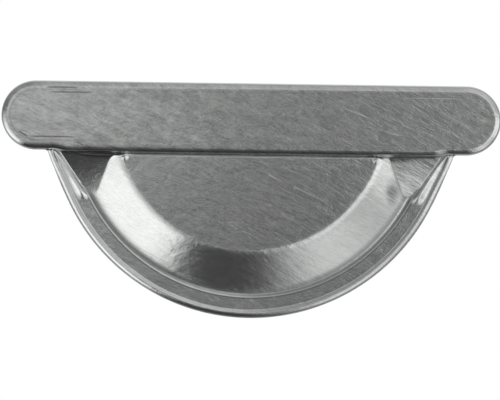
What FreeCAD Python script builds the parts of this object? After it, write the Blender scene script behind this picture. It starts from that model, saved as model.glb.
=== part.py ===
import FreeCAD, Part
import math
import os
from FreeCAD import Vector

# Universal end cap for a half-round rain gutter, pressed from one sheet of metal.
# It closes the left or the right end of the gutter: a half disc closes the half-round trough,
# and a long hollow bar over it covers the rolled bead on one side and the back edge on the other.
#
# Frame, in millimetres: X runs across the gutter, Z points up, and +Y points into the gutter.
# The face that is seen on the finished gutter looks towards -Y.
# The origin is the centre of the half-round trough, in the plane where the gutter's end stops.
#
# The sheet is the space between two skins of the same form, the outer one and one that lies
# one sheet thickness behind it. Each form below is therefore a function of how deep its skin lies.

# Sheet
sheet = 0.7
flange_depth = 9.0

# Half disc: outer rim, flared where it nears the bar
rim_radius = 79.3
rim_bend = 3.3
flare_start_angle = 27.5
flare_radius = 150.0

# Bar across the top, with round ends that reach past the rim
bar_overhang = 18.7
bar_length = 2 * (rim_radius + bar_overhang)
bar_height = 27.1
bar_centre_drop = 0.6
bar_rise = 11.0
bar_bend = 2.5
bar_underside = -bar_centre_drop - bar_height / 2

# Groove between the rim's flat band and the dish
band_width = 8.4
groove_radius = rim_radius - band_width
groove_width = 1.4
groove_wall_angle = 37.0
groove_depth = 1.5
groove_drop = groove_width * math.tan(math.radians(groove_wall_angle))

# Dish: flat panel that stands proud of the rim, with a flank that slopes down to the groove
panel_rise = 7.0
panel_bend = 5.0
flank_width = 16.5
flank_slope = (panel_rise + groove_drop) / flank_width
panel_radius = groove_radius - groove_width - flank_width

# Upper corners, where the groove runs straight up to the bar beside a three-sided facet
corner_angle = 26.5
corner_lean = 35.5
facet_rise = 6.54
facet_side_slope = 3.4
facet_start_drop = 1.2
facet_wall_draft = 18.0

# Shoulder along the outside of the straight groove
shoulder_width = 4.1
shoulder_lean = 26.6
shoulder_slope = 28.0
shoulder_end_slope = 30.0
corner_bury = 0.3

# Cove where the disc, the dish and the corners run into the underside of the bar
cove_radius = 2.0

# Room for tools that reach past the part, and how near a plane an edge counts as lying in it
reach = 3.0 * bar_length
margin = 1.0
near = 1e-4

band_front = -sheet


def on_circle(radius, degrees, y=0.0):
    """Point on a circle about the trough's centre; 0 degrees is +X, 90 degrees is up."""
    angle = math.radians(degrees)
    return Vector(radius * math.cos(angle), y, radius * math.sin(angle))


def mirrored(point):
    """The same point on the other side of the middle plane."""
    return Vector(-point.x, point.y, point.z)


def beyond(point, normal):
    """All the space on the side of a plane that its normal points to."""
    block = Part.makeBox(reach, reach, reach, Vector(-reach / 2, -reach / 2, 0))
    block.Placement = FreeCAD.Placement(point, FreeCAD.Rotation(Vector(0, 0, 1), normal))
    return block


def rear_end(depth):
    """The inner skin runs past the flange's edge, so that the cap is open at the back."""
    return flange_depth + (margin if depth else 0.0)


def front_edges(body, front):
    """Edges that lie in the front plane of a plate."""
    return [edge for edge in body.Edges
            if abs(edge.BoundBox.YMin - front) < near and abs(edge.BoundBox.YMax - front) < near]


def rim_plate(depth):
    """Half disc with its flared sides, bent back all round."""
    back = rear_end(depth)
    front = band_front + depth
    radius = rim_radius - depth
    side_radius = flare_radius - depth
    side_centre = on_circle(rim_radius - flare_radius, -flare_start_angle, back)

    def side(z):
        run = math.sqrt(side_radius ** 2 - (z - side_centre.z) ** 2)
        return Vector(side_centre.x + run, back, z)

    low = on_circle(radius, -flare_start_angle, back)
    top = side(-bar_centre_drop)
    middle = side((low.z + top.z) / 2)
    outline = [
        Part.Arc(low, Vector(0, back, -radius), mirrored(low)).toShape(),
        Part.Arc(mirrored(low), mirrored(middle), mirrored(top)).toShape(),
        Part.makeLine(mirrored(top), top),
        Part.Arc(top, middle, low).toShape(),
    ]
    body = Part.Face(Part.Wire(outline)).extrude(Vector(0, front - back, 0))
    bent = [edge for edge in front_edges(body, front) if edge.BoundBox.ZMin < top.z - near]
    return body.makeFillet(rim_bend - depth, bent)


def bar(depth):
    """Long pillow with round ends, open at the back."""
    back = rear_end(depth)
    front = band_front - bar_rise + depth
    end_radius = bar_height / 2 - depth
    end_x = (bar_length - bar_height) / 2
    middle_z = -bar_centre_drop
    upper = Vector(end_x, back, middle_z + end_radius)
    tip = Vector(end_x + end_radius, back, middle_z)
    lower = Vector(end_x, back, middle_z - end_radius)
    outline = [
        Part.makeLine(mirrored(upper), upper),
        Part.Arc(upper, tip, lower).toShape(),
        Part.makeLine(lower, mirrored(lower)),
        Part.Arc(mirrored(lower), mirrored(tip), mirrored(upper)).toShape(),
    ]
    body = Part.Face(Part.Wire(outline)).extrude(Vector(0, front - back, 0))
    return body.makeFillet(bar_bend - depth, front_edges(body, front))


def dish(depth):
    """Round panel with a conical flank, cut off inside the bar."""
    setback = depth * math.sqrt(1 + flank_slope ** 2)
    panel_front = band_front - panel_rise + depth
    edge_radius = panel_radius + (depth - setback) / flank_slope
    foot_radius = groove_radius
    foot_y = panel_front + (foot_radius - edge_radius) * flank_slope
    inside = flange_depth / 2
    profile = [
        Vector(0, inside, 0),
        Vector(foot_radius, inside, 0),
        Vector(foot_radius, foot_y, 0),
        Vector(edge_radius, panel_front, 0),
        Vector(0, panel_front, 0),
    ]
    body = Part.Face(Part.makePolygon(profile + profile[:1])).revolve(Vector(0, 0, 0), Vector(0, 1, 0), 360)
    body = body.makeFillet(panel_bend - depth, front_edges(body, panel_front))
    return body.cut(beyond(Vector(0, 0, -bar_centre_drop), Vector(0, 0, 1)))


def corner_points():
    """Where the groove leaves its circle, and where its straight run has gone into the bar."""
    low = on_circle(groove_radius, -corner_angle)
    rise = -bar_centre_drop - low.z
    high = Vector(low.x + rise * math.tan(math.radians(corner_lean)), 0, low.z + rise)
    return low, high


def pocket(depth):
    """Tool that sinks everything inside the groove's outer wall below the flat band."""
    low, high = corner_points()
    run_in = groove_depth / math.tan(math.radians(groove_wall_angle))
    outline = Part.Wire([
        Part.Arc(low, Vector(0, 0, -groove_radius), mirrored(low)).toShape(),
        Part.makeLine(mirrored(low), mirrored(high)),
        Part.makeLine(mirrored(high), high),
        Part.makeLine(high, low),
    ])
    floor = outline.makeOffset2D(-run_in, 2)
    floor.translate(Vector(0, groove_depth, 0))
    mouth = outline.makeOffset2D(run_in, 2)
    mouth.translate(Vector(0, -groove_depth, 0))
    tool = Part.makeLoft([floor, mouth], True, True)
    setback = depth / math.cos(math.radians(groove_wall_angle))
    tool.translate(Vector(0, band_front + setback, 0))
    return tool


def facet_wedge(depth):
    """Corner gusset on the right: a flat facet that climbs to the bar, with a steep outer wall."""
    low, high = corner_points()
    start = Vector(low.x, band_front + facet_start_drop, low.z)
    across = math.tan(math.radians(facet_side_slope))
    climb = facet_rise / (bar_underside - low.z)
    facet = Vector(across, -1, -climb).normalize()
    run = high - low
    ridge = Vector(run.x, across * run.x - climb * run.z, run.z).normalize()
    side = ridge.cross(Vector(0, -1, 0)).normalize()
    draft = math.radians(facet_wall_draft)
    wall = side * math.cos(draft) + side.cross(ridge) * math.sin(draft)
    block = corner_block(low, band_front + depth + groove_depth + corner_bury)
    return trimmed(block, [(start, facet), (start, wall)], depth)


def shoulder(depth):
    """Low bump on the band on the right, highest where the groove turns, leaning to the rim."""
    low, high = corner_points()
    lean = math.radians(shoulder_lean)
    slope = math.radians(shoulder_slope)
    foot = on_circle(groove_radius + shoulder_width, -corner_angle, band_front)
    outer = Vector(math.cos(lean) * math.sin(slope), -math.cos(slope), -math.sin(lean) * math.sin(slope))
    run = (high - low).normalize()
    wall = math.radians(groove_wall_angle)
    inner = Vector(-run.z * math.sin(wall), -math.cos(wall), run.x * math.sin(wall))
    face = math.radians(shoulder_end_slope)
    around = on_circle(-math.cos(face), 90 - corner_angle)
    end = Vector(around.x, -math.sin(face), around.z)
    start = Vector(low.x, band_front, low.z)
    block = corner_block(low, band_front + depth + corner_bury)
    return trimmed(block, [(foot, outer), (start, inner), (start, end)], depth)


def corner_block(low, back):
    """Rough block round the right upper corner, from the given depth to the top of the bar's wall."""
    inner_x = panel_radius - panel_bend
    front = band_front - bar_rise + bar_bend
    foot = low.z - panel_bend
    size = Vector(bar_length / 2 - inner_x, back - front, -bar_centre_drop - foot)
    return Part.makeBox(size.x, size.y, size.z, Vector(inner_x, front, foot))


def trimmed(block, planes, depth):
    """Block cut by planes that each lie the given depth under the outer skin."""
    for point, normal in planes:
        block = block.cut(beyond(point - normal * depth, normal))
    return block


def joined_to_bar(form, depth):
    """The form and the bar as one body, with a cove in the inward corner under the bar."""
    body = form.fuse(bar(depth)).removeSplitter()
    underside = bar_underside + depth
    wall_top = band_front - bar_rise + bar_bend
    end_x = (bar_length - bar_height) / 2
    corner = []
    for edge in body.Edges:
        box = edge.BoundBox
        level = max(abs(box.ZMin - underside), abs(box.ZMax - underside)) < near
        between_ends = max(-box.XMin, box.XMax) < end_x - near
        at_top = box.YMax < wall_top + near
        at_back = box.YMin > rear_end(depth) - near
        if level and between_ends and not at_top and not at_back:
            corner.append(edge)
    return body.makeFillet(cove_radius + depth, corner)


def skin(depth):
    """Everything behind one skin of the cap."""
    plate = joined_to_bar(rim_plate(depth), depth).cut(pocket(depth))
    corners = [joined_to_bar(facet_wedge(depth), depth), shoulder(depth)]
    corners += [corner.mirror(Vector(0, 0, 0), Vector(1, 0, 0)) for corner in corners]
    return plate.fuse([joined_to_bar(dish(depth), depth), bar(depth)] + corners).removeSplitter()


def end_cap():
    """The sheet between the outer skin and the inner one."""
    return skin(0.0).cut(skin(sheet))


os.makedirs("parts", exist_ok=True)
cap = end_cap()
print("end_cap valid", cap.isValid(), "solids", len(cap.Solids), "volume", round(cap.Volume, 1))
cap.exportStep("parts/end_cap.step")
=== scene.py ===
# %% [markdown]
# A gutter end cap closes the open end of a rain gutter. This one is pressed from one sheet of
# zinc, and it is shown as it is sold: new, bare and grey, seen square from the front on a white
# ground. The frame holds the cap as a solid from a CAD program. It could simply be painted, but
# its bends are those of a drawing. So its outside sizes are kept, and the sheet is shaped anew
# with the soft bends of a press. Rolled metal has almost no colour of its own. What the eye
# reads as metal is what it mirrors, so half of the work is in the room round the cap.

# %% Load the frame
import bmesh
import bpy
import math
import numpy as np
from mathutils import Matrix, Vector


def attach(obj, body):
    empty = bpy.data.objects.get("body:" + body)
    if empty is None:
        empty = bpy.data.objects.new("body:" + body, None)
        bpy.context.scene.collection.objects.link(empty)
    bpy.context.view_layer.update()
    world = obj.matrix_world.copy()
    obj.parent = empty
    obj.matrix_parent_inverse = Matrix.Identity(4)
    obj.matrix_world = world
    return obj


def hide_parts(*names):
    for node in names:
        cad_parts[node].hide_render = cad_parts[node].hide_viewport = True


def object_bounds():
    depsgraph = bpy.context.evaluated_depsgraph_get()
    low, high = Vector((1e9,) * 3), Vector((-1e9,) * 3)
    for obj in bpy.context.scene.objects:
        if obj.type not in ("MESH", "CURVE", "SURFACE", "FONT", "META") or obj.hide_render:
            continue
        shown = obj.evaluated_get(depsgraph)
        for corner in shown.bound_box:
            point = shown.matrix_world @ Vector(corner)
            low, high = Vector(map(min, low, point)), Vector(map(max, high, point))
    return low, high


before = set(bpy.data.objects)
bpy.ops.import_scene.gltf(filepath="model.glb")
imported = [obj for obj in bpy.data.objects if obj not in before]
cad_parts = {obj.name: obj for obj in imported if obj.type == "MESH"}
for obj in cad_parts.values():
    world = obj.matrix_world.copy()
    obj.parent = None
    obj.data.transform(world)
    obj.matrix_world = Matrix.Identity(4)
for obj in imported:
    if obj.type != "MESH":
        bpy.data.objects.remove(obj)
cad_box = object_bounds()
cap_low, cap_high = cad_box
mm = 0.001
print("cap measures", [round(v / mm, 1) for v in cap_high - cap_low], "mm")

# %% [markdown]
# The cap is one pressed sheet, so one function can describe it: how far the metal stands out
# towards the viewer at each place across the cap. Every form is a plane, a cone or a step given
# as a height, and the press leaves the highest of them, with each meeting line rounded. Another
# way is to bevel the edges of the solid, but its meeting lines are too short and too oblique for
# that, and a height gives each bend its own softness. These sizes are shared by several forms.

# %% Sizes that the forms share
sheet = 0.7 * mm
front_of_bar = -cap_low.y
rim_radius = -cap_low.z
groove_radius = 70.9 * mm
panel_radius = 53.5 * mm

bar_end = cap_high.x
bar_top = cap_high.z
bar_half = 13.55 * mm
bar_middle = bar_top - bar_half
bar_low = bar_middle - bar_half
lobe_x = bar_end - bar_half
print("bar", round(2 * bar_end / mm, 1), "mm long and", round(2 * bar_half / mm, 1), "mm high")

# %% [markdown]
# Two surfaces meet in a line, and a press rounds that line. A Bevel modifier rounds only edges
# that the mesh already has. Here the heights themselves are blended: `lower` takes the lower of
# two and shaves the ridge off, `upper` takes the higher and fills the valley. The last value is
# how far apart the two heights still are where the rounding starts.

# %% Rounded lowest and highest
def lower(first, second, blend):
    """The lower height: where they differ by less than blend, a parabola takes over."""
    share = np.clip(0.5 + (second - first) / (2 * blend), 0, 1)
    return second + (first - second) * share - blend * share * (1 - share)


def upper(first, second, blend):
    """The higher height, by turning the lower one upside down."""
    return -lower(-first, -second, blend)


def quarter_round(distance, radius):
    """How far a bend has dropped, this far inside its outer edge: radius less the circle's height."""
    inside = np.clip(radius - distance, 0, radius)
    return radius - np.sqrt(np.maximum(radius ** 2 - inside ** 2, 0))


def ramp(value, start, end):
    """Smooth step from 0 at start to 1 at end: 3 share squared less 2 share cubed."""
    share = np.clip((value - start) / (end - start), 0, 1)
    return share ** 2 * (3 - 2 * share)


print("rounding over 1 mm shaves", -round(float(lower(0.0, 0.0, 1.0)), 2), "mm off the ridge")

# %% [markdown]
# The bar lies across the top like a long pillow. Its underside is straight, but between the two
# upper corners it hangs a millimetre lower than at the round ends. It could be modelled as a
# separate strip. A smooth step in the line itself does the same and leaves no seam.

# %% Underside of the bar
bar_sag = 1.0 * mm
sag_start = 0.98 * rim_radius
sag_full = 0.9 * rim_radius


def underside(x):
    """Underside of the bar: its lowest line, less a sag that comes in smoothly beside the corners."""
    return bar_low - bar_sag * ramp(np.abs(x), sag_start, sag_full)


print("underside", round(underside(0) / mm, 2), "mm, at the ends", round(bar_low / mm, 2), "mm")

# %% [markdown]
# A groove runs round the dish and stiffens the cap. In each upper corner it leaves its circle
# and runs straight up to the bar. A Boolean along a curve could cut it, and would leave hard
# edges. Distances describe it just as well: one up the straight run, one across it. Every place
# in the corner then knows on which side of the groove it lies.

# %% Where the groove turns, and directions along its straight run
corner_angle = math.radians(26.5)
run_lean = math.radians(35.5)
corner_x = groove_radius * math.cos(corner_angle)
corner_z = -groove_radius * math.sin(corner_angle)


def along_run(x, z):
    """Distance up the straight run of the groove, from where it leaves the circle."""
    return (x - corner_x) * math.sin(run_lean) + (z - corner_z) * math.cos(run_lean)


def inside_run(x, z):
    """Distance in from the straight run, towards the middle of the cap."""
    return (z - corner_z) * math.sin(run_lean) - (x - corner_x) * math.cos(run_lean)


def outside_lip(x, z):
    """Distance out from the groove's outer lip: from the straight run above the turn, else the circle."""
    return np.where(along_run(x, z) > 0, -inside_run(x, z), np.hypot(x, z) - groove_radius)


print("the groove turns at", round(corner_x / mm, 1), round(corner_z / mm, 1), "mm")

# %% [markdown]
# The outline of the cap is half a circle that opens out a little near the bar, and then turns
# into the bar with a small inward round. A Bezier curve could be drawn by eye, but the gutter
# fits a true circle. So three circles that touch each other give it. The centre of the small
# one is worked out from where it has to touch the flare and the bar.

# %% Outline of the half disc
flare_angle = math.radians(27.5)
flare_radius = 150 * mm
corner_round = 1.6 * mm
flare_x = (rim_radius - flare_radius) * math.cos(flare_angle)
flare_z = -(rim_radius - flare_radius) * math.sin(flare_angle)
round_z = bar_low - corner_round
round_x = flare_x + math.sqrt((flare_radius + corner_round) ** 2 - (round_z - flare_z) ** 2)


def inside_rim(x, z):
    """Distance in from the outline: radius less distance from the centre, for the circle in charge."""
    below = np.arctan2(-z, x) > flare_angle
    from_circle = rim_radius - np.hypot(x, z)
    from_flare = flare_radius - np.hypot(x - flare_x, z - flare_z)
    from_round = np.hypot(x - round_x, z - round_z) - corner_round
    past = (z - flare_z) * (round_x - flare_x) > (round_z - flare_z) * (x - flare_x)
    return np.where(below, from_circle, np.where(past, from_round, from_flare))


print("the outline meets the bar", round(round_x / mm, 1), "mm from the middle")

# %% [markdown]
# Between the rim and the groove lies a flat band. Beside the straight run it is pushed up into a
# low shoulder, a leaf shape that leans to the rim. As a separate lump it would leave a seam. As a
# height it is the lower of two planes, cut off at the band and faded in at its foot.

# %% Band, groove and shoulder
groove_slope = math.tan(math.radians(37))
lip_blend = 0.12 * mm
shoulder_width = 4.1 * mm
shoulder_lean = math.radians(26.6)
shoulder_slope = math.tan(math.radians(28))
shoulder_x = (groove_radius + shoulder_width) * math.cos(corner_angle)
shoulder_z = -(groove_radius + shoulder_width) * math.sin(corner_angle)
flatter_by = 0.45
flatter_from, flatter_to = 7 * mm, 15 * mm
rise_from, rise_to = -2 * mm, 4 * mm
crest_blend = 0.8 * mm
root_blend = 0.45 * mm


def band_and_groove(x, z):
    """Flat band, plus the shoulder, cut by the groove's outer wall: sheet less distance in times slope."""
    circle = groove_radius - np.hypot(x, z)
    straight = np.minimum(inside_run(x, z), along_run(x, z))
    wall = sheet - np.maximum(circle, straight) * groove_slope
    outward = (x - shoulder_x) * math.cos(shoulder_lean) - (z - shoulder_z) * math.sin(shoulder_lean)
    upward = (x - corner_x) * math.sin(corner_angle) + (z - corner_z) * math.cos(corner_angle)
    slope = shoulder_slope * (1 - flatter_by * ramp(along_run(x, z), flatter_from, flatter_to))
    leaf = lower(sheet - outward * slope, sheet - inside_run(x, z) * groove_slope, crest_blend)
    raised = upper(leaf - sheet, 0 * x, root_blend)
    band = sheet + raised * ramp(upward, rise_from, rise_to)
    return lower(band, wall, lip_blend)


print("band stands", round(float(band_and_groove(0.0, -0.95 * rim_radius)) / mm, 2), "mm out")

# %% [markdown]
# The dish is a flat panel with a flank that slopes down to the groove, and in each upper corner
# a three-sided gusset climbs to the bar. Planes and a cone would do for a rough model. Here the
# panel has a slight crown, without which it would mirror one spot and look dead, and the gusset
# is twisted a little. These two touches make the light move across the metal.

# %% Dish and gusset
panel_height = 7.7 * mm
panel_crown = 0.3 * mm
panel_middle = -32 * mm
flank_foot = 68.2 * mm
flank_floor = -0.2 * mm
flank_slope = (panel_height - flank_floor) / (flank_foot - panel_radius)
foot_blend = 1.0 * mm
edge_blend = 0.85 * mm

gusset_drop = -0.5 * mm
gusset_climb = math.tan(math.radians(20.5))
gusset_across = 0.17
gusset_twist = 0.1
gusset_length = 17.5 * mm
gusset_wall = 3.0
gusset_blend = 0.7 * mm
gusset_inner = 0.88 * panel_radius
out_of_the_way = -front_of_bar


def dish(x, z):
    """Panel less a crown that grows with distance squared, and a cone that falls away from its edge."""
    cone = panel_height - (np.hypot(x, z) - panel_radius) * flank_slope
    crown = panel_crown * (x ** 2 + (z - panel_middle) ** 2) / panel_radius ** 2
    cone = upper(cone, flank_floor + 0 * x, foot_blend)
    return lower(panel_height - crown, cone, edge_blend)


def corner_gusset(x, z):
    """Lower of a plane that climbs to the bar and a steep wall outside it, and nothing further in."""
    across = gusset_across - gusset_twist * np.clip((z - corner_z) / gusset_length, 0, 1)
    plane = gusset_drop - across * (x - corner_x) + gusset_climb * (z - corner_z)
    ridge_climb = gusset_climb * math.cos(run_lean) - gusset_across * math.sin(run_lean)
    wall = gusset_drop + ridge_climb * along_run(x, z) + gusset_wall * inside_run(x, z)
    return np.where(x > gusset_inner, lower(plane, wall, gusset_blend), out_of_the_way)


print("flank slopes", round(math.degrees(math.atan(flank_slope)), 1), "degrees")

# %% [markdown]
# At the rim the sheet bends back into a flange. A low bead lies just inside the bend, and the
# flange opens a little towards its edge, so that the cap leaves the press and slips over the
# gutter. A bevel could round the edge, but the bead would be lost. Both are functions of the
# distance in from the outline.

# %% Bend and bead at the rim
rim_bend = 1.4 * mm
bead_width = 1.4 * mm
bead_height = 0.5 * mm
flange_draft = 0.65 * mm
draft_start, draft_full = bar_low - 2 * mm, bar_low - 14 * mm


def set_in(z):
    """How far the front of the rim lies inside the flange's edge: the draft, faded out near the bar."""
    return flange_draft * ramp(z, draft_start, draft_full)


def rim_form(inside):
    """Bead as a smooth step over its width, less the quarter circle of the bend."""
    climb = np.clip((rim_bend + bead_width - inside) / bead_width, 0, 1)
    bead = bead_height * climb ** 2 * (3 - 2 * climb)
    return bead - quarter_round(inside, rim_bend)


print("rim highest", round(rim_form(rim_bend) / mm, 2), "mm over the band")

# %% [markdown]
# Under the bar everything runs into its wall with a cove. Beside the dish the cove is wider, and
# a small nub stands in each of those corners. Between them a fine crease lies along the cove.
# They are small, and yet they carry the thin bright line under the bar. They could be sculpted,
# but then they would stay behind when a size changes. Each is a bell curve or a quarter circle,
# placed by its distance from the bar and added to the height.

# %% The whole height of the disc
step_blend = 0.12 * mm
valley_blend = 0.22 * mm
cove = 0.6 * mm
cove_growth = 3
cove_dip = 0.2 * mm
dip_width = 0.4 * mm
dip_middle = 0.6 * dip_width
nub_x = 49.3 * mm
nub_drop = 1.5 * mm
nub_size = 0.9 * mm
nub_height = 0.4 * mm
wide_inside, wide_outside = (47 * mm, 56 * mm), (72 * mm, 60 * mm)
crease_end = (49 * mm, 45 * mm)


def disc_height(x, z):
    """Highest of the forms, with the rim's bend, and the small forms of the cove added."""
    x = np.abs(x)
    pressed = upper(band_and_groove(x, z), dish(x, z), step_blend)
    pressed = upper(pressed, corner_gusset(x, z), valley_blend)
    below_bar = underside(x) - z
    from_nub = (x - nub_x) ** 2 + (nub_drop - below_bar) ** 2
    nub = nub_height * np.exp(-from_nub / nub_size ** 2)
    wide = ramp(x, *wide_inside) * ramp(x, *wide_outside)
    crease = cove_dip * np.exp(-((below_bar - dip_middle) / dip_width) ** 2)
    small_forms = nub - crease * ramp(x, *crease_end)
    return (pressed + rim_form(inside_rim(x, z) - set_in(z)) + small_forms
            + quarter_round(below_bar, cove * (1 + cove_growth * wide)))


print("middle of the panel stands", round(float(disc_height(0.0, panel_middle)) / mm, 2), "mm out")

# %% [markdown]
# Next the places where the height is worked out. A square grid would cut the round lines of the
# press into steps. So columns run from the underside of the bar to the rim, and they crowd
# towards the corners, where the forms are small.

# %% Columns from the bar to the rim
def right_outline(steps):
    """Points down the right half of the outline: centre plus radius times cosine and sine, thrice."""
    turn = math.atan2(round_z - flare_z, round_x - flare_x)
    small = np.linspace(math.pi / 2, turn + math.pi, steps)
    wide = np.linspace(turn, -flare_angle, steps)
    circle = np.linspace(-flare_angle, -math.pi / 2, steps)
    x = np.concatenate([round_x + corner_round * np.cos(small), flare_x + flare_radius * np.cos(wide),
                        rim_radius * np.cos(circle)])
    z = np.concatenate([round_z + corner_round * np.sin(small), flare_z + flare_radius * np.sin(wide),
                        rim_radius * np.sin(circle)])
    return x, z


columns = 340
crowding = 0.25
outline_steps = 600
share = np.linspace(-1, 1, columns + 1)
share = share * (1 + crowding * (1 - share ** 2))
outline_x, outline_z = right_outline(outline_steps)
walked = np.concatenate([[0], np.cumsum(np.hypot(np.diff(outline_x), np.diff(outline_z)))])
reached = (1 - np.abs(share)) * walked[-1]
foot_x = np.interp(reached, walked, outline_x) * np.sign(share)
foot_z = np.interp(reached, walked, outline_z)
heading = np.hypot(np.gradient(foot_x), np.gradient(foot_z))
front_x = foot_x - set_in(foot_z) * np.gradient(foot_z) / heading
front_z = foot_z + set_in(foot_z) * np.gradient(foot_x) / heading
head_x = share * round_x
head_z = underside(head_x)
print("columns", columns + 1, "over", round(2 * walked[-1] / mm, 1), "mm of rim")

# %% [markdown]
# Rows follow the lines that the press left: the cove, the panel's edge, the bottom and the lip
# of the groove, and the bead at the rim. Even rows would have to be many times as many to catch
# the narrow groove. Each column is walked in small steps to find where it crosses the lines. A
# line that a column never crosses is taken up by its upper end, so rows there fall together and
# are sewn into one.

# %% Rows that follow the pressed lines
walk_steps = 800
cove_zone = 2 * mm
edge_zone = 1.9 * mm
groove_lines = (-1.5 * mm, -0.95 * mm, -0.25 * mm, 0.3 * mm)
before_bead = 0.2 * mm
walk = np.linspace(0, 1, walk_steps)[:, None]
walk_x = np.abs(head_x + (front_x - head_x) * walk)
walk_z = head_z + (front_z - head_z) * walk


def crossings(distance, *places):
    """For each column, how far down it the given distance grows past each place, from 0 to 1."""
    growing = np.maximum.accumulate(distance, axis=0)
    return [np.array([np.interp(place, growing[:, i], walk[:, 0]) for i in range(columns + 1)])
            for place in places]


lines = [np.zeros(columns + 1)]
lines += crossings(underside(walk_x) - walk_z, cove_zone)
lines += crossings(np.hypot(walk_x, walk_z) - panel_radius, -edge_zone, edge_zone)
lines += crossings(outside_lip(walk_x, walk_z), *groove_lines)
lines += crossings(set_in(walk_z) - inside_rim(walk_x, walk_z),
                   -rim_bend - bead_width - before_bead, -rim_bend)
lines += [np.ones(columns + 1)]
lines = np.maximum.accumulate(np.array(lines), axis=0)
rows_between = [16, 13, 8, 20, 3, 3, 3, 11, 8, 10]
place = [lines[0][None]]
for start, end, rows in zip(lines[:-1], lines[1:], rows_between):
    place.append(start + (end - start) * np.linspace(0, 1, rows + 1)[1:, None])
place = np.vstack(place)
print("rows", place.shape[0], "between", len(lines), "lines")

# %% [markdown]
# Now the height is read at every crossing of a row and a column. The last row is the front of
# the rim. The flange could be a strip of its own, but as a few more rows that run straight back
# it needs no seam. Its edge stops a little short of the solid's, because the flange's thickness
# will tilt with its draft.

# %% Grid of the disc and its flange
flange_rows = 4
flange_short = 0.1 * mm
flange_back = cap_high.y - flange_short
disc_x = head_x + (front_x - head_x) * place
disc_z = head_z + (front_z - head_z) * place
disc_h = disc_height(disc_x, disc_z)
drop = np.linspace(0, 1, flange_rows + 1)[1:, None]
flange_x = front_x + (foot_x - front_x) * drop
flange_z = front_z + (foot_z - front_z) * drop
flange_h = disc_h[-1] + (-flange_back - disc_h[-1]) * drop
disc_grid = np.stack([np.vstack([disc_x, flange_x]), -np.vstack([disc_h, flange_h]),
                      np.vstack([disc_z, flange_z])], axis=-1)
print("disc grid", disc_grid.shape)
print("heights from", round(disc_h.min() / mm, 2), "to", round(disc_h.max() / mm, 2), "mm")

# %% [markdown]
# The bar covers the gutter's rolled bead and its back edge. A rounded box would look right on
# its own, but it wouldn't join the disc. So the bar is a profile carried round a long outline
# with round ends: up the wall, over the bend and across the face to its middle line. Under the
# bar the outline is the row of points where the columns of the disc begin, so the two grids
# share them and join without a seam.

# %% Outline of the bar
lobe_steps = 40
angle = np.linspace(-math.pi / 2, math.pi / 2, lobe_steps + 1)
edge_x = np.concatenate([head_x, lobe_x + bar_half * np.cos(angle),
                         head_x[::-1], -lobe_x - bar_half * np.cos(angle)])
edge_z = np.concatenate([head_z, bar_middle + bar_half * np.sin(angle),
                         np.full_like(head_x, bar_top), bar_middle - bar_half * np.sin(angle)])
middle_x = np.concatenate([head_x, np.full(lobe_steps + 1, lobe_x),
                           head_x[::-1], np.full(lobe_steps + 1, -lobe_x)])
on_disc = np.arange(edge_x.size) <= columns
print("points round the bar", edge_x.size)

# %% [markdown]
# The wall leans in by half a millimetre, since an upright wall would stick in the die. The bend
# is a quarter circle, and the face stays level to the middle line. Rows stand close where the
# bend ends and wider apart towards the middle, where a finer mesh would change nothing.

# %% Wall, bend and face of the bar
bar_bend = 2.05 * mm
bar_draft = 0.5 * mm
bend_rows = 10
face_rows = 8
wall_rows = 5
face_crowding = 1.3
bend_turn = np.linspace(0, math.pi / 2, bend_rows + 1)[:, None]
bend_inset = bar_draft + bar_bend * (1 - np.cos(bend_turn))
inward = np.linspace(0, 1, face_rows + 1)[1:, None] ** face_crowding
inset = np.vstack([bend_inset, bend_inset[-1] + (bar_half - bend_inset[-1]) * inward])
raised = np.vstack([front_of_bar - bar_bend * (1 - np.sin(bend_turn)),
                    np.full((face_rows, 1), front_of_bar)])
face_x = edge_x + (middle_x - edge_x) * inset / bar_half
face_z = edge_z + (bar_middle - edge_z) * inset / bar_half
face_h = np.broadcast_to(raised, face_x.shape)

beyond_disc = np.zeros(edge_x.size - columns - 1)
wall_foot = np.where(on_disc, np.concatenate([disc_h[0], beyond_disc]), disc_h[0, 0])
down = np.linspace(1, 0, wall_rows + 1)[:-1, None]
wall_h = raised[0] + (wall_foot - raised[0]) * down
wall_x = edge_x + (face_x[0] - edge_x) * (1 - down)
wall_z = edge_z + (face_z[0] - edge_z) * (1 - down)
bar_grid = np.stack([np.vstack([wall_x, face_x]), -np.vstack([wall_h, face_h]),
                     np.vstack([wall_z, face_z])], axis=-1)
print("bar grid", bar_grid.shape)

# %% [markdown]
# Where the bar has no disc below it, round its ends and along its top, the wall runs on to the
# back and ends in the same plane as the flange. It can't be part of the bar's own grid, which
# goes all the way round, so one more grid does this, a plain skirt.

# %% Skirt behind the bar
deep = np.linspace(0, 1, flange_rows + 1)[::-1, None]
skirt_h = disc_h[0, 0] + (-flange_back - disc_h[0, 0]) * deep
outer = np.concatenate([[columns], np.arange(columns + 1, edge_x.size), [0]])
skirt_x = np.repeat(edge_x[outer][None], flange_rows + 1, 0)
skirt_z = np.repeat(edge_z[outer][None], flange_rows + 1, 0)
skirt_grid = np.stack([skirt_x, -np.repeat(skirt_h, outer.size, 1), skirt_z], axis=-1)
print("skirt grid", skirt_grid.shape)

# %% [markdown]
# The three grids lie edge to edge but don't know of each other. As three objects they would show
# seams once they have a thickness. So their faces are put into one mesh, and points that fall
# together are sewn. What stays open is the back edge alone, as on the real sheet.

# %% Join the grids into one sheet
def grid_faces(height, width, start, closed=False):
    """Four corners of each cell: its point, the next in the row, and the same two one row down."""
    last = width if closed else width - 1
    row, column = np.meshgrid(np.arange(height - 1), np.arange(last), indexing="ij")
    beside = (column + 1) % width
    return start + np.stack([row * width + column, row * width + beside, (row + 1) * width + beside,
                             (row + 1) * width + column], axis=-1).reshape(-1, 4)


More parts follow.
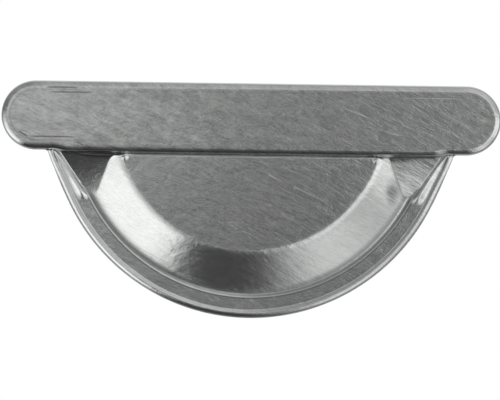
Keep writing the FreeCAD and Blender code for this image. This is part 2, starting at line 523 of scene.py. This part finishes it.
sewing_reach = 0.002 * mm
bar_start = disc_grid.shape[0] * disc_grid.shape[1]
skirt_start = bar_start + bar_grid.shape[0] * bar_grid.shape[1]
disc_faces = grid_faces(disc_grid.shape[0], disc_grid.shape[1], 0)[:, ::-1]
bar_faces = grid_faces(bar_grid.shape[0], bar_grid.shape[1], bar_start, closed=True)
skirt_faces = grid_faces(skirt_grid.shape[0], skirt_grid.shape[1], skirt_start)
points = np.vstack([disc_grid.reshape(-1, 3), bar_grid.reshape(-1, 3), skirt_grid.reshape(-1, 3)])
faces = np.vstack([disc_faces, bar_faces, skirt_faces])
mesh = bpy.data.meshes.new("cap_sheet")
mesh.from_pydata(points, [], faces.tolist())
sewn = bmesh.new()
sewn.from_mesh(mesh)
bmesh.ops.remove_doubles(sewn, verts=sewn.verts, dist=sewing_reach)
bmesh.ops.dissolve_degenerate(sewn, edges=sewn.edges, dist=sewing_reach)
open_edges = sum(1 for edge in sewn.edges if len(edge.link_faces) == 1)
print("sheet has", len(sewn.verts), "points,", len(sewn.faces), "faces and", open_edges, "open edges")
sewn.to_mesh(mesh)
sewn.free()
mesh.shade_smooth()

# %% [markdown]
# The finish and the painted shade will need to know two things about each place: how far it
# lies from the groove, and whether it is on a gusset. A texture would have to find that again
# from coordinates. The sheet was built from those very distances, so they are stored on its
# points as named attributes.

# %% Notes for the finish, stored on the points
off_the_disc = -50
gusset_edge = 0.4 * mm
clear_of_bar = 0.01 * mm
spots = np.empty(3 * len(mesh.vertices))
mesh.vertices.foreach_get("co", spots)
spot_x, spot_z = np.abs(spots[0::3]), spots[2::3]
others = np.maximum(band_and_groove(spot_x, spot_z), dish(spot_x, spot_z))
stands_out = corner_gusset(spot_x, spot_z) - others
under_bar = spot_z < underside(spot_x) - clear_of_bar
lip_note = np.where(under_bar, outside_lip(spot_x, spot_z) / mm, off_the_disc)
gusset_note = np.where(under_bar, np.clip(stands_out / gusset_edge, 0, 1), 0)
mesh.attributes.new("past_lip", "FLOAT", "POINT").data.foreach_set("value", lip_note)
mesh.attributes.new("gusset", "FLOAT", "POINT").data.foreach_set("value", gusset_note)
print("points on the gussets", int((gusset_note > 0).sum()))

# %% [markdown]
# So far the sheet is a skin without thickness. Its back could be worked out as a second height,
# but Solidify does that in one step. It grows the sheet backwards, away from the viewer, so that
# the front stays where it is. Then the solid from the CAD program is hidden, and the sheet is
# hung from the root body, which carries it.

# %% Thickness, and the cap's place in the frame
cap = bpy.data.objects.new("cap_sheet", mesh)
bpy.context.scene.collection.objects.link(cap)
thick = cap.modifiers.new("sheet", "SOLIDIFY")
thick.thickness = sheet
thick.offset = -1
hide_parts("end_cap")
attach(cap, "root")
print("sheet", round(thick.thickness / mm, 2), "mm thick")

# %% [markdown]
# The finish of the metal is a calculation: noises and marks that are added and multiplied. Nodes
# could be placed by hand, but a sum is easier to read. This small class wraps one socket, so
# that `a * b + c` adds the Math nodes by itself. Any other node comes from one method of the
# material's bench.

# %% A socket that can be added and multiplied
class Value:
    """One output socket of a material, with arithmetic."""

    def __init__(self, bench, socket):
        self.bench = bench
        self.socket = socket

    def math(self, operation, *others):
        """One Math node with this value in front."""
        return self.bench.node("ShaderNodeMath", {"operation": operation}, [self, *others])

    def __add__(self, other):
        return self.math("ADD", other)

    def __radd__(self, other):
        return self.math("ADD", other)

    def __sub__(self, other):
        return self.math("SUBTRACT", other)

    def __rsub__(self, other):
        return self.bench.node("ShaderNodeMath", {"operation": "SUBTRACT"}, [other, self])

    def __mul__(self, other):
        return self.math("MULTIPLY", other)

    def __rmul__(self, other):
        return self.math("MULTIPLY", other)

    def __pow__(self, other):
        return self.math("POWER", other)

    def max(self, other):
        return self.math("MAXIMUM", other)

    def min(self, other):
        return self.math("MINIMUM", other)

    def size(self):
        return self.math("ABSOLUTE")

    def step(self, start, end, low=0.0, high=1.0):
        """Smooth ramp from low at start to high at end."""
        return self.bench.node("ShaderNodeMapRange", {"interpolation_type": "SMOOTHSTEP"},
                               {"Value": self, "From Min": start, "From Max": end,
                                "To Min": low, "To Max": high})


class Bench:
    """Where the nodes of one material or world are made."""

    def __init__(self, tree):
        self.tree = tree
        tree.nodes.clear()

    def node(self, kind, settings=None, inputs=(), output=0):
        """Make a node, set its settings, then fill its sockets with values or links."""
        made = self.tree.nodes.new(kind)
        for name, value in (settings or {}).items():
            setattr(made, name, value)
        pairs = inputs.items() if isinstance(inputs, dict) else enumerate(inputs)
        for name, value in pairs:
            if isinstance(value, Value):
                self.tree.links.new(value.socket, made.inputs[name])
            else:
                made.inputs[name].default_value = value
        return Value(self, made.outputs[output]) if made.outputs else made

    def three(self, coordinates):
        """The x, y and z of a place or a direction, as three values."""
        parts = self.node("ShaderNodeSeparateXYZ", inputs=[coordinates])
        return [Value(self, parts.socket.node.outputs[i]) for i in range(3)]

    def noise(self, x, y, z, detail=2.0, roughness=0.5, twist=0.0):
        """Soft noise from about -1 to 1; the place may be stretched or turned beforehand."""
        place = self.node("ShaderNodeCombineXYZ", inputs=[x, y, z])
        made = self.node("ShaderNodeTexNoise", {}, {"Vector": place, "Scale": 1.0, "Detail": detail,
                                                    "Roughness": roughness, "Distortion": twist})
        return (made - 0.5) * 4

    def attribute(self, name):
        """A number that was stored on the points of the mesh."""
        return self.node("ShaderNodeAttribute", {"attribute_name": name}, output="Fac")


print("operators ready:", [name for name in vars(Value) if name.startswith("__r")])

# %% [markdown]
# The cap is seen from straight in front, as in a catalogue. A long lens from three metres keeps
# the walls of the bar from showing. The lens is worked out from how many millimetres one pixel
# should cover, and the whole camera is rolled by a fraction of a degree, as it was held.

# %% Camera, square to the cap and turned a little on its axis
pixel = 0.3925 * mm
photo_width = 500
distance = 3.0
roll = math.radians(0.82)
aim = Vector((0, 0, -32.8 * mm))
camera_data = bpy.data.cameras.new("camera")
camera_data.sensor_width = 36.0
camera_data.lens = camera_data.sensor_width * distance / (photo_width * pixel)
camera_data.clip_end = 100
camera = bpy.data.objects.new("camera", camera_data)
bpy.context.scene.collection.objects.link(camera)
bpy.context.scene.camera = camera
camera.location = aim + Vector((0, -distance, 0))
camera.rotation_euler = (math.radians(90), -roll, 0)
print("lens", round(camera_data.lens), "mm, picture", round(photo_width * pixel / mm), "mm wide")

# %% [markdown]
# A photo of sheet metal is really a photo of the room that it mirrors. Two soft boxes stand in
# front of the cap, one to each side and above the line of view. They put a soft gleam on the
# bends, while the room does the rest. Point lamps would leave hard dots on smooth metal.

# %% Soft boxes
def soft_box(name, off_axis, around, away, size, brightness):
    """Area lamp at an angle off the viewing axis; around runs from +X upwards. An even panel gives
    off pi times its brightness times its area, which is the energy that it is set to."""
    lean, turn = math.radians(off_axis), math.radians(around)
    towards = Vector((math.sin(lean) * math.cos(turn), -math.cos(lean), math.sin(lean) * math.sin(turn)))
    data = bpy.data.lights.new(name, "AREA")
    data.shape = "RECTANGLE"
    data.size, data.size_y = size
    data.energy = brightness * math.pi * size[0] * size[1]
    box = bpy.data.objects.new(name, data)
    bpy.context.scene.collection.objects.link(box)
    box.location = aim + towards * away
    box.rotation_euler = towards.to_track_quat("Z", "Y").to_euler()
    box.visible_camera = False
    print(name, "gives", round(data.energy, 3), "W")


soft_box("front left", 14, 145, 0.8, (0.25, 0.25), 0.58)
soft_box("front right", 17, 30, 0.8, (0.25, 0.25), 0.2)

# %% [markdown]
# The panel and the bar face the camera and mirror the dim wall behind it. The flank mirrors what
# lies low to the left and right, and the bends run through all of it. Panels of light could
# stand there one by one, but a world that changes with direction is smooth and has no edges to
# hide. `off` is how far a direction lies from the viewing axis, 0 on it and 1 square to it.
# `turn` says on which side, in radians: 0 straight down, negative on the left, positive on the
# right.

# %% The room, by direction
grey_wall = 0.12
left_light, right_light, high_light = 1.6, 0.78, 0.33
world = bpy.data.worlds.new("room")
bpy.context.scene.world = world
world.use_nodes = True
room = Bench(world.node_tree)
across, depth, up = room.three(room.node("ShaderNodeTexCoord", output="Generated"))
turn = across.math("ARCTAN2", 0 - up)
off = (across * across + up * up) ** 0.5

# Low left: one bright panel with a sharp edge near the bottom, paler towards the axis
left = turn.step(-1.85, -1.1) * turn.step(-0.495, -0.515) * off.step(0.3, 0.9, 0.5, 1.0)
# Low right: it comes in softly, dips, is brightest high up, and gleams again near the axis
right = turn.step(0.02, 0.5) * (turn.step(0.66, 0.88, 1.0, 0.7) + turn.step(0.98, 1.2, 0.0, 0.6))
right = right * turn.step(2.0, 1.5, 0.3, 1.0)
right = right * (off.step(0.8, 0.97, 1.1, 1.4) + off.step(0.8, 0.5, 0.0, 0.4))
# Above: a soft light that grows towards straight up
high = turn.size().step(1.2, 2.6)

side = off.step(0.85, 1.0, 0.1, 0.05) + left_light * left + right_light * right + high_light * high
front = grey_wall + (side - grey_wall) * off.step(0.08, 0.26)
back = 0.1 + 0.4 * left + 0.1 * right + 0.37 * high
level = front + (back - front) * depth.step(0.0, 0.7)
print("nodes for the room", len(world.node_tree.nodes))

# %% [markdown]
# The ground behind the cap is pure white. A bright card could stand there, but it would light the
# cap too, and the metal would go pale. Light Path tells the rays apart: those from the camera
# and those that pass through something see white, and so do mirror rays that leave almost
# straight backwards, because there the metal looks at the ground itself.

# %% White behind the cap
seen = room.node("ShaderNodeLightPath", output="Is Camera Ray")
through = room.node("ShaderNodeLightPath", output="Is Transmission Ray")
mirrored = room.node("ShaderNodeLightPath", output="Is Glossy Ray")
straight_back = depth.step(0.99, 0.999)
walls = room.node("ShaderNodeBackground", inputs=[level, 1.0])
white = room.node("ShaderNodeBackground", inputs=[(1, 1, 1, 1), 1.0])
behind = seen.max(through).max(mirrored * straight_back)
all_round = room.node("ShaderNodeMixShader", inputs=[behind, walls, white])
room.node("ShaderNodeOutputWorld", inputs=[all_round])
print("nodes with the white ground", len(world.node_tree.nodes))

# %% [markdown]
# A floor gives the cap something to stand over when it is looked at from above. From the front
# it can't be told from the white ground. It could be left out, but then the cap would float in
# nothing. It is kept out of what the metal mirrors, so that it doesn't upset the room.

# %% A pale floor below
floor_half = 2.5
floor_height = -0.45
floor_tone = 0.8
floor_glow = 0.75
signs = [(-1, -1), (1, -1), (1, 1), (-1, 1)]
corners = [(sx * floor_half, sy * floor_half, floor_height) for sx, sy in signs]
floor_mesh = bpy.data.meshes.new("floor")
floor_mesh.from_pydata(corners, [], [(0, 1, 2, 3)])
floor = bpy.data.objects.new("floor", floor_mesh)
bpy.context.scene.collection.objects.link(floor)
floor.visible_glossy = False
paint = bpy.data.materials.new("floor")
paint.use_nodes = True
pale = Bench(paint.node_tree)
chalk = pale.node("ShaderNodeBsdfDiffuse", inputs={"Color": (floor_tone, floor_tone, floor_tone, 1)})
glow = pale.node("ShaderNodeEmission", inputs={"Color": (1, 1, 1, 1), "Strength": floor_glow})
shown = pale.node("ShaderNodeAddShader", inputs=[chalk, glow])
seen_floor = pale.node("ShaderNodeLightPath", output="Is Camera Ray")
both = pale.node("ShaderNodeMixShader", inputs=[seen_floor, chalk, shown])
pale.node("ShaderNodeOutputMaterial", inputs=[both])
floor_mesh.materials.append(paint)
print("floor", 2 * floor_half, "m wide,", -floor_height, "m below the middle")

# %% [markdown]
# The sheet was rolled at a slant, so its grain runs down to the right across every form. Five
# noises make it: long fine grain, small specks, soft blotches, broad smears and the stripes of
# a brush. A picture of real metal could be laid on, but it would repeat and stretch. Noise on
# the cap's own coordinates, in millimetres, stays sharp at any size. The number before each
# coordinate says how quickly it changes that way, so a small one draws the noise out.

# %% Rolled grain and blotches
material = bpy.data.materials.new("zinc_sheet")
material.use_nodes = True
zinc = Bench(material.node_tree)
metres = zinc.three(zinc.node("ShaderNodeTexCoord", output="Object"))
x, y, z = [metre * 1000 for metre in metres]

grain_lean = math.radians(27)
along = x * math.cos(grain_lean) - z * math.sin(grain_lean)
beside = x * math.sin(grain_lean) + z * math.cos(grain_lean)
grain = zinc.noise(along * 0.34, beside * 2.3, y * 0.2, 3.0, 0.6)
speck = zinc.noise(x * 2.6, y * 2.6, z * 2.6, 2.0, 0.6)
blotch = zinc.noise(x * 0.11, y * 0.1, z * 0.17, 4.0, 0.65, 0.5)
smear = zinc.noise(along * 0.07, beside * 0.35, y * 0.1, 3.0, 0.6, 0.3)
stripes = zinc.noise(along * 0.11, beside * 0.75, y * 0.2, 3.0, 0.65)
print("grain leans", round(math.degrees(grain_lean)), "degrees")

# %% [markdown]
# The finish isn't the same all over. The left half of the bar is blotched most, the gusset on
# the right shows brush strokes, and the panel and the top of each gusset get painted shade.
# One mask for each says where.
# Masks could be painted by hand. Made from distances, they follow the sizes of the cap.

# %% Where the finish differs, and where shade is painted
underside_mm = underside(0) / mm
panel_mm = panel_radius / mm
gusset = zinc.attribute("gusset")
on_bar = z.step(underside_mm, underside_mm + 1)
# on_panel also darkens the panel a little in the zinc below: painted shade.
on_panel = ((x * x + z * z) ** 0.5).step(panel_mm, panel_mm - 3) * (1 - on_bar)
worn = on_bar * x.step(25, -45) * x.step(-100, -88)
brushed = gusset * x.step(40, 60)
# Painted shade on the top of each gusset, next to the bar.
gusset_top_shade = gusset * z.step(-31, -17)
print("bar starts at", round(underside_mm, 2), "mm, panel ends at", round(panel_mm, 1), "mm")

# %% [markdown]
# The press and the hand left straight lines: dark ones from the die near the left end of the
# bar, and pale scratches on the bar and on the panel. They could be modelled, but they are
# thinner than the mesh. Each is the distance to a line between two places, in millimetres.

# %% Die lines and scratches
def line(start, end, width):
    """1 on the straight line between two places, 0 beside it, fading towards both ends."""
    run = Vector(end) - Vector(start)
    way = run.normalized()
    far = (x - start[0]) * way.x + (z - start[1]) * way.y
    off_line = ((x - start[0]) * way.y - (z - start[1]) * way.x).size()
    ends = far.step(0, 0.2 * run.length) * far.step(run.length, 0.8 * run.length)
    return off_line.step(width, 0.2 * width) * ends


dark_lines = (line((-81, 10.3), (-67, 10.3), 0.5) + line((-80, 8.4), (-61, 8.4), 0.42)
              + line((-87, -9.1), (-68, -9.0), 0.46) + line((-91.2, -7.0), (-87.2, -9.2), 0.45))
pale_lines = (line((58, 7.9), (83, 7.9), 0.36) + line((35.5, 3.9), (47.7, -0.7), 0.32)
              + line((48.9, -4.2), (59.2, -7.2), 0.28) + line((6.3, -22.3), (12.6, -25.7), 0.36)
              + line((16.0, -26.9), (30.5, -33.5), 0.34))
faint_lines = line((-47.8, -49.6), (-29.6, -59.5), 0.3) + line((-31, -58.8), (-18.5, -66.4), 0.3)
print("nodes so far", len(material.node_tree.nodes))

# %% [markdown]
# Shade is painted into the colour of the metal where it would fall: in the bottom of the groove,
# along its lip and in the crease beside the gusset. A painted dark patch lies on the right
# flank, and a fine painted dark line follows the edge of the bar's face. A node can look for
# hollows by itself, but what it finds depends on the mesh. The distances that were stored on
# the points are exact.

# %% Painted shade in the groove, the creases and on the flank
past_lip = zinc.attribute("past_lip")
# Painted shade: a thin dark line just outside the groove's lip.
lip_painted_shade = past_lip.step(0.05, 0.3) * past_lip.step(0.95, 0.5)
off_centre = 0.012
from_lip = past_lip + off_centre * x
# Painted shade in the bottom of the groove.
groove_painted_shade = from_lip.step(-3.8, -1.9) * from_lip.step(-0.8, -1.5) * z.step(-72, -60, 0.3, 0.55)
groove_painted_shade = groove_painted_shade * (1 - gusset)
# Painted shade in the crease along the gusset on the right.
crease_painted_shade = gusset.step(0.02, 0.3) * gusset.step(0.9, 0.5) * x.step(40, 55)

# Painted shade: a soft dark patch on the right flank.
flank_shade_x, flank_shade_z = 55.9, -29.0
flank_shade_narrow, flank_shade_tall = 0.32, 0.16
from_flank_shade = ((x - flank_shade_x) * flank_shade_narrow) ** 2 + ((z - flank_shade_z) * flank_shade_tall) ** 2
flank_painted_shade = (from_flank_shade ** 0.5).step(1.2, 0.2)

# Painted shade: a thin dark line on the bar's face just inside its bend, strongest at the left end.
lobe = (x.size() - lobe_x / mm).max(0)
height = z - bar_middle / mm
inside_bar = bar_half / mm - (lobe * lobe + height * height) ** 0.5
bend_edge_shade = inside_bar.step(3.1, 3.5) * inside_bar.step(4.2, 3.8) * x.step(-62, -76, 0.3, 1.0)
print("nodes so far", len(material.node_tree.nodes))

# %% [markdown]
# All of it meets in one value, the shade: 1 is clean metal, less is darker. The noises add up,
# the marks and the painted shade take their share away one after another, and the scratches
# add light. Colour, roughness and relief could each have patterns of their own, but on real
# metal they agree, so they follow from the same ones. The relief is a few hundredths of a
# millimetre deep: it ruffles what the metal mirrors and nothing more.

# %% Zinc
clean_tone = 0.55
clean_roughness = 0.155
relief_depth = 0.03 * mm

grain_share = 0.08 + 0.035 * worn + 0.03 * on_panel
blotch_share = 0.04 + 0.13 * worn
smear_share = 0.035 + 0.08 * worn
shade = 1 + grain_share * grain + 0.09 * speck + blotch_share * blotch + smear_share * smear
shade = shade + 0.25 * brushed * stripes
# Below, the lip, groove, bar-bend, panel, gusset-top, crease and right-flank terms are painted shade; the
# die lines and pale scratches are marks on the metal.
shade = shade * (1 - 0.6 * dark_lines) * (1 - 0.32 * lip_painted_shade) * (1 - groove_painted_shade)
shade = shade * (1 - 0.12 * bend_edge_shade) * (1 - 0.1 * on_panel) * (1 - 0.22 * gusset_top_shade)
shade = shade * (1 - 0.4 * crease_painted_shade) * (1 - 0.12 * faint_lines)
shade = shade * (1 - flank_painted_shade * (0.5 + 0.25 * stripes)) + 0.28 * pale_lines
red, green, blue = 0.985, 1.004, 0.99
tone = (shade * clean_tone).max(0.05).min(0.95)
colour = zinc.node("ShaderNodeCombineColor", inputs=[tone * red, tone * green, tone * blue])

matt = clean_roughness + 0.02 * grain + (0.015 + 0.03 * worn) * blotch + 0.1 * dark_lines
relief = 0.22 * grain + 0.25 * speck + 0.7 * smear + 0.9 * blotch + 1.2 * brushed * stripes
bump = zinc.node("ShaderNodeBump", inputs={"Strength": 1.0, "Distance": relief_depth, "Height": relief})
metal = zinc.node("ShaderNodeBsdfPrincipled", inputs={"Base Color": colour, "Metallic": 1.0,
                                                     "Roughness": matt.max(0.08).min(0.5),
                                                     "Normal": bump})
zinc.node("ShaderNodeOutputMaterial", inputs=[metal])
mesh.materials.append(material)
print("nodes in the zinc", len(material.node_tree.nodes))

# %% [markdown]
# Last, the colours are shown as they are written. The Standard view does this, while the usual
# one would grey the white ground.

# %% Finish
bpy.context.scene.view_settings.view_transform = "Standard"
